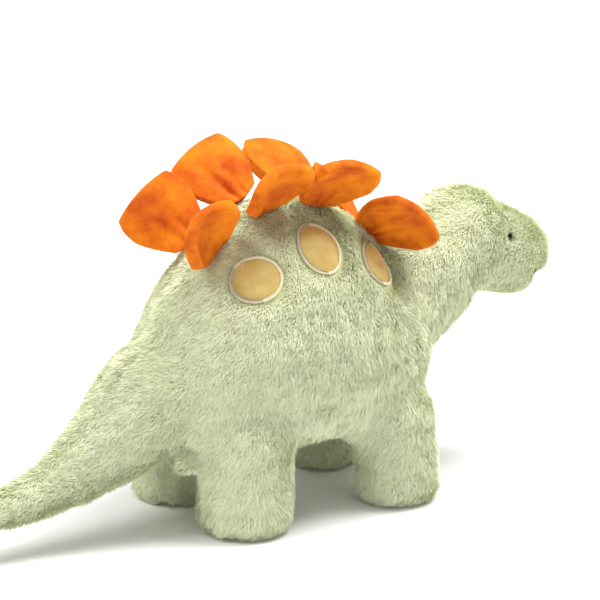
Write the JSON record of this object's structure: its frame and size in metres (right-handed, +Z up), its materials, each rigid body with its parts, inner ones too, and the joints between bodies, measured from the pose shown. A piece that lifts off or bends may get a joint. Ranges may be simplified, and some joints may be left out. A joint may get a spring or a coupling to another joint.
{
  "type": "stuffed dinosaur",
  "caption": "Standing plush stegosaurus in sage faux fur with folding velvet back plates, velour spots, a bending tail, swinging legs and a turning head.",
  "frame": {"origin": "on the floor, under the middle of the toy's overall length and width", "axes": "+X to the head, +Y to the toy's left, +Z up"},
  "size_m": [0.4944, 0.1426, 0.2409],
  "materials": {
    "fur": "sage green faux fur, short dense pile",
    "sole_fur": "short-clipped sage fur on the soles",
    "velvet": "burnt orange velvet with a soft sheen",
    "velour": "honey gold velour",
    "satin_thread": "cream satin stitching",
    "filling": "white polyester fibre filling",
    "eye_plastic": "polished black safety eye",
    "washer_plastic": "natural moulded washer",
    "dark_thread": "dark olive embroidery thread"
  },
  "bodies": {
    "body": {"body_cover_left": "fur", "body_cover_right": "fur", "back_strip": "fur", "belly_panel": "fur", "body_stuffing": "filling", "spot_left_1": "velour", "spot_edging_left_1": "satin_thread", "spot_left_2": "velour", "spot_edging_left_2": "satin_thread", "spot_left_3": "velour", "spot_edging_left_3": "satin_thread", "spot_right_1": "velour", "spot_edging_right_1": "satin_thread", "spot_right_2": "velour", "spot_edging_right_2": "satin_thread", "spot_right_3": "velour", "spot_edging_right_3": "satin_thread"},
    "leg_front_left": {"leg_cover_front_left": "fur", "sole_front_left": "sole_fur", "leg_stuffing_front_left": "filling"},
    "leg_hind_left": {"leg_cover_hind_left": "fur", "sole_hind_left": "sole_fur", "leg_stuffing_hind_left": "filling"},
    "leg_front_right": {"leg_cover_front_right": "fur", "sole_front_right": "sole_fur", "leg_stuffing_front_right": "filling"},
    "leg_hind_right": {"leg_cover_hind_right": "fur", "sole_hind_right": "sole_fur", "leg_stuffing_hind_right": "filling"},
    "tail_root": {"tail_root_cover": "fur", "tail_root_stuffing": "filling"},
    "tail_end": {"tail_end_cover": "fur", "tail_end_stuffing": "filling"},
    "neck": {"neck_cover": "fur", "neck_stuffing": "filling"},
    "head": {"head_cover": "fur", "head_stuffing": "filling", "eye_left": "eye_plastic", "eye_washer_left": "washer_plastic", "eye_right": "eye_plastic", "eye_washer_right": "washer_plastic", "nostril_left": "dark_thread", "nostril_right": "dark_thread", "mouth_stitch": "dark_thread"},
    "plate_left_1": {"plate_cover_left_1": "velvet", "plate_wadding_left_1": "filling"},
    "plate_left_2": {"plate_cover_left_2": "velvet", "plate_wadding_left_2": "filling"},
    "plate_left_3": {"plate_cover_left_3": "velvet", "plate_wadding_left_3": "filling"},
    "plate_left_4": {"plate_cover_left_4": "velvet", "plate_wadding_left_4": "filling"},
    "plate_right_1": {"plate_cover_right_1": "velvet", "plate_wadding_right_1": "filling"},
    "plate_right_2": {"plate_cover_right_2": "velvet", "plate_wadding_right_2": "filling"},
    "plate_right_3": {"plate_cover_right_3": "velvet", "plate_wadding_right_3": "filling"},
    "plate_right_4": {"plate_cover_right_4": "velvet", "plate_wadding_right_4": "filling"}
  },
  "joints": [
    {"name": "leg_front_left_swing", "type": "hinge", "parent": "body", "child": "leg_front_left", "pos_m": [0.09917, 0.044, 0.058], "axis": [0, 1, 0], "range_deg": [-15, 15], "stiffness_Nm_per_rad": 1.5},
    {"name": "leg_hind_left_swing", "type": "hinge", "parent": "body", "child": "leg_hind_left", "pos_m": [-0.0154, 0.04, 0.058], "axis": [0, 1, 0], "range_deg": [-15, 15], "stiffness_Nm_per_rad": 1.5},
    {"name": "leg_front_right_swing", "type": "hinge", "parent": "body", "child": "leg_front_right", "pos_m": [0.09917, -0.044, 0.058], "axis": [0, 1, 0], "range_deg": [-15, 15], "stiffness_Nm_per_rad": 1.5},
    {"name": "leg_hind_right_swing", "type": "hinge", "parent": "body", "child": "leg_hind_right", "pos_m": [-0.0154, -0.04, 0.058], "axis": [0, 1, 0], "range_deg": [-15, 15], "stiffness_Nm_per_rad": 1.5},
    {"name": "tail_root_swing", "type": "hinge", "parent": "body", "child": "tail_root", "pos_m": [-0.05908, 0, 0.089], "axis": [0, 0, 1], "range_deg": [-20, 20], "stiffness_Nm_per_rad": 0.4},
    {"name": "tail_end_swing", "type": "hinge", "parent": "tail_root", "child": "tail_end", "pos_m": [-0.14208, 0, 0.041], "axis": [0, 0, 1], "range_deg": [-30, 30], "stiffness_Nm_per_rad": 0.15},
    {"name": "neck_nod", "type": "hinge", "parent": "body", "child": "neck", "pos_m": [0.11692, 0, 0.12064], "axis": [0, 1, 0], "range_deg": [-14, 10], "stiffness_Nm_per_rad": 3},
    {"name": "head_turn", "type": "hinge", "parent": "neck", "child": "head", "pos_m": [0.18192, 0, 0.15664], "axis": [0, 0, 1], "range_deg": [-25, 25], "stiffness_Nm_per_rad": 0.5},
    {"name": "plate_left_1_fold", "type": "hinge", "parent": "body", "child": "plate_left_1", "pos_m": [-0.02632, 0.011, 0.17972], "axis": [-0.6649, 0, -0.7469], "range_deg": [-30, 15], "stiffness_Nm_per_rad": 0.05},
    {"name": "plate_left_2_fold", "type": "hinge", "parent": "body", "child": "plate_left_2", "pos_m": [0.01525, 0.011, 0.20631], "axis": [-0.9748, 0, -0.2233], "range_deg": [-30, 15], "stiffness_Nm_per_rad": 0.05},
    {"name": "plate_left_3_fold", "type": "hinge", "parent": "body", "child": "plate_left_3", "pos_m": [0.05678, 0.011, 0.2042], "axis": [-0.9578, 0, 0.2875], "range_deg": [-30, 15], "stiffness_Nm_per_rad": 0.05},
    {"name": "plate_left_4_fold", "type": "hinge", "parent": "body", "child": "plate_left_4", "pos_m": [0.09813, 0.011, 0.17813], "axis": [-0.6773, 0, 0.7357], "range_deg": [-30, 15], "stiffness_Nm_per_rad": 0.05},
    {"name": "plate_right_1_fold", "type": "hinge", "parent": "body", "child": "plate_right_1", "pos_m": [-0.02632, -0.011, 0.17972], "axis": [0.6649, 0, 0.7469], "range_deg": [-30, 15], "stiffness_Nm_per_rad": 0.05},
    {"name": "plate_right_2_fold", "type": "hinge", "parent": "body", "child": "plate_right_2", "pos_m": [0.01525, -0.011, 0.20631], "axis": [0.9748, 0, 0.2233], "range_deg": [-30, 15], "stiffness_Nm_per_rad": 0.05},
    {"name": "plate_right_3_fold", "type": "hinge", "parent": "body", "child": "plate_right_3", "pos_m": [0.05678, -0.011, 0.2042], "axis": [0.9578, 0, -0.2875], "range_deg": [-30, 15], "stiffness_Nm_per_rad": 0.05},
    {"name": "plate_right_4_fold", "type": "hinge", "parent": "body", "child": "plate_right_4", "pos_m": [0.09813, -0.011, 0.17813], "axis": [0.6773, 0, -0.7357], "range_deg": [-30, 15], "stiffness_Nm_per_rad": 0.05}
  ]
}
